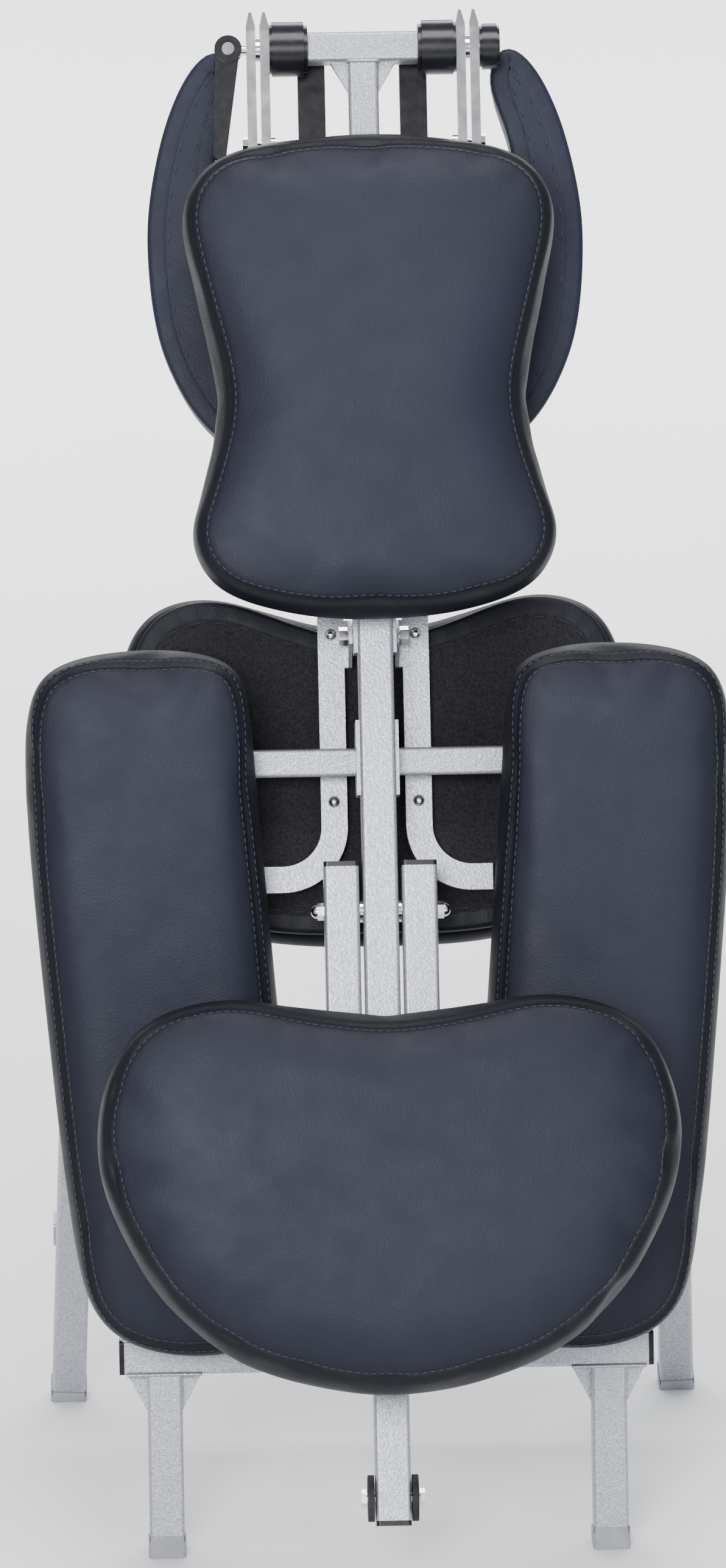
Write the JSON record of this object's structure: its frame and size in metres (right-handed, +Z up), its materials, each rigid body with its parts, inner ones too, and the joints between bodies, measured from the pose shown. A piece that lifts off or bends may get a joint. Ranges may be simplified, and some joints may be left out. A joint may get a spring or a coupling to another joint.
{
  "type": "folding massage chair",
  "caption": "Folding massage chair: hourglass chest pad, kidney seat, knee pads and hanging armrest on a leaning tube frame, with a horseshoe face cushion on a clamped, tilting cradle.",
  "frame": {"origin": "on the floor, under the middle of the whole chair's box", "axes": "+Z up, +X to the sitter's right when they face the chest pad, +Y away from the sitter, towards the face cradle's side"},
  "size_m": [0.5632, 0.6225, 1.1828],
  "materials": {
    "frame_paint": "silver-grey hammered metallic paint on square steel tube",
    "bright_steel": "bright polished plates, rod and fasteners",
    "vinyl": "dark navy soft-grain vinyl, satin, stitched seams",
    "black_plastic": "glossy black moulded plastic",
    "black_rubber": "matt black rubber",
    "grey_rubber": "grey moulded foot, satin",
    "board": "plywood painted black"
  },
  "bodies": {
    "frame": {"side_rail_left": "frame_paint", "side_rail_right": "frame_paint", "crossbar": "frame_paint", "lower_cross_tube": "frame_paint", "frame_plugs": "black_plastic", "rear_leg_left": "frame_paint", "rear_leg_right": "frame_paint", "rear_feet": "grey_rubber", "spine_tube": "frame_paint", "spine_plug": "black_plastic", "spine_standoff": "frame_paint", "crossbar_gussets": "frame_paint", "armrest_lugs": "frame_paint", "knee_board_left": "board", "knee_board_right": "board", "knee_spacers": "black_plastic", "knee_pad_left": "vinyl", "knee_pad_right": "vinyl", "chest_plate": "frame_paint", "chest_board": "board", "chest_pad": "vinyl", "chest_screws": "bright_steel", "roller_axle": "bright_steel", "leg_bolts": "bright_steel", "seat_bolt": "bright_steel", "armrest_bolt": "bright_steel"},
    "front_legs": {"front_leg_left": "frame_paint", "front_leg_right": "frame_paint", "front_brace": "frame_paint", "front_feet": "grey_rubber"},
    "seat_arm": {"seat_fork_left": "frame_paint", "seat_fork_right": "frame_paint", "fork_plugs": "black_plastic", "seat_riser": "frame_paint", "seat_board": "board", "seat_pad": "vinyl", "seat_screws": "bright_steel"},
    "armrest": {"armrest_bar_left": "frame_paint", "armrest_bar_right": "frame_paint", "armrest_hinge": "frame_paint", "armrest_board": "board", "armrest_pad": "vinyl", "armrest_screws": "bright_steel"},
    "stem": {"cradle_stem": "frame_paint", "cradle_tee": "frame_paint", "tee_bushes": "black_plastic"},
    "cradle": {"clamp_rod": "bright_steel", "clamp_hubs": "black_plastic", "rail_pair_left": "bright_steel", "rail_pair_right": "bright_steel", "clamp_cap": "black_plastic", "cradle_arms": "black_plastic", "cradle_board": "black_plastic", "face_cushion": "vinyl", "rail_bolts": "bright_steel"},
    "lever": {"cam_lever": "black_plastic", "cam_rivet": "bright_steel"},
    "left_roller": {"roller_left": "black_rubber"},
    "right_roller": {"roller_right": "black_rubber"},
    "height_pin": {"pull_pin": "black_plastic"}
  },
  "joints": [
    {"name": "front_legs_fold", "type": "hinge", "parent": "frame", "child": "front_legs", "pos_m": [0, 0.04205, 0.64234], "axis": [1, 0, 0], "range_deg": [-30, 0]},
    {"name": "seat_raise", "type": "hinge", "parent": "frame", "child": "seat_arm", "pos_m": [0, -0.03574, 0.50908], "axis": [-1, 0, 0], "range_deg": [0, 68]},
    {"name": "armrest_raise", "type": "hinge", "parent": "frame", "child": "armrest", "pos_m": [0, 0.07599, 0.70553], "axis": [1, 0, 0], "range_deg": [0, 90]},
    {"name": "stem_height", "type": "slide", "parent": "frame", "child": "stem", "axis": [0, 0.3746, 0.9272], "range_m": [0, 0.09]},
    {"name": "cradle_tilt", "type": "hinge", "parent": "stem", "child": "cradle", "pos_m": [0, 0.22498, 1.1544], "axis": [1, 0, 0], "range_deg": [0, 160]},
    {"name": "lever_swing", "type": "hinge", "parent": "cradle", "child": "lever", "pos_m": [-0.108, 0.22498, 1.1544], "axis": [0, 0.9272, -0.3746], "range_deg": [0, 95]},
    {"name": "left_roller_spin", "type": "hinge", "parent": "frame", "child": "left_roller", "pos_m": [-0.0175, -0.21031, 0.07701], "axis": [1, 0, 0], "continuous": true},
    {"name": "right_roller_spin", "type": "hinge", "parent": "frame", "child": "right_roller", "pos_m": [0.0175, -0.21031, 0.07701], "axis": [1, 0, 0], "continuous": true},
    {"name": "pin_pull", "type": "slide", "parent": "frame", "child": "height_pin", "axis": [-1, 0, 0], "range_m": [0, 0.008], "stiffness_N_per_m": 600, "springref_m": -0.003}
  ]
}
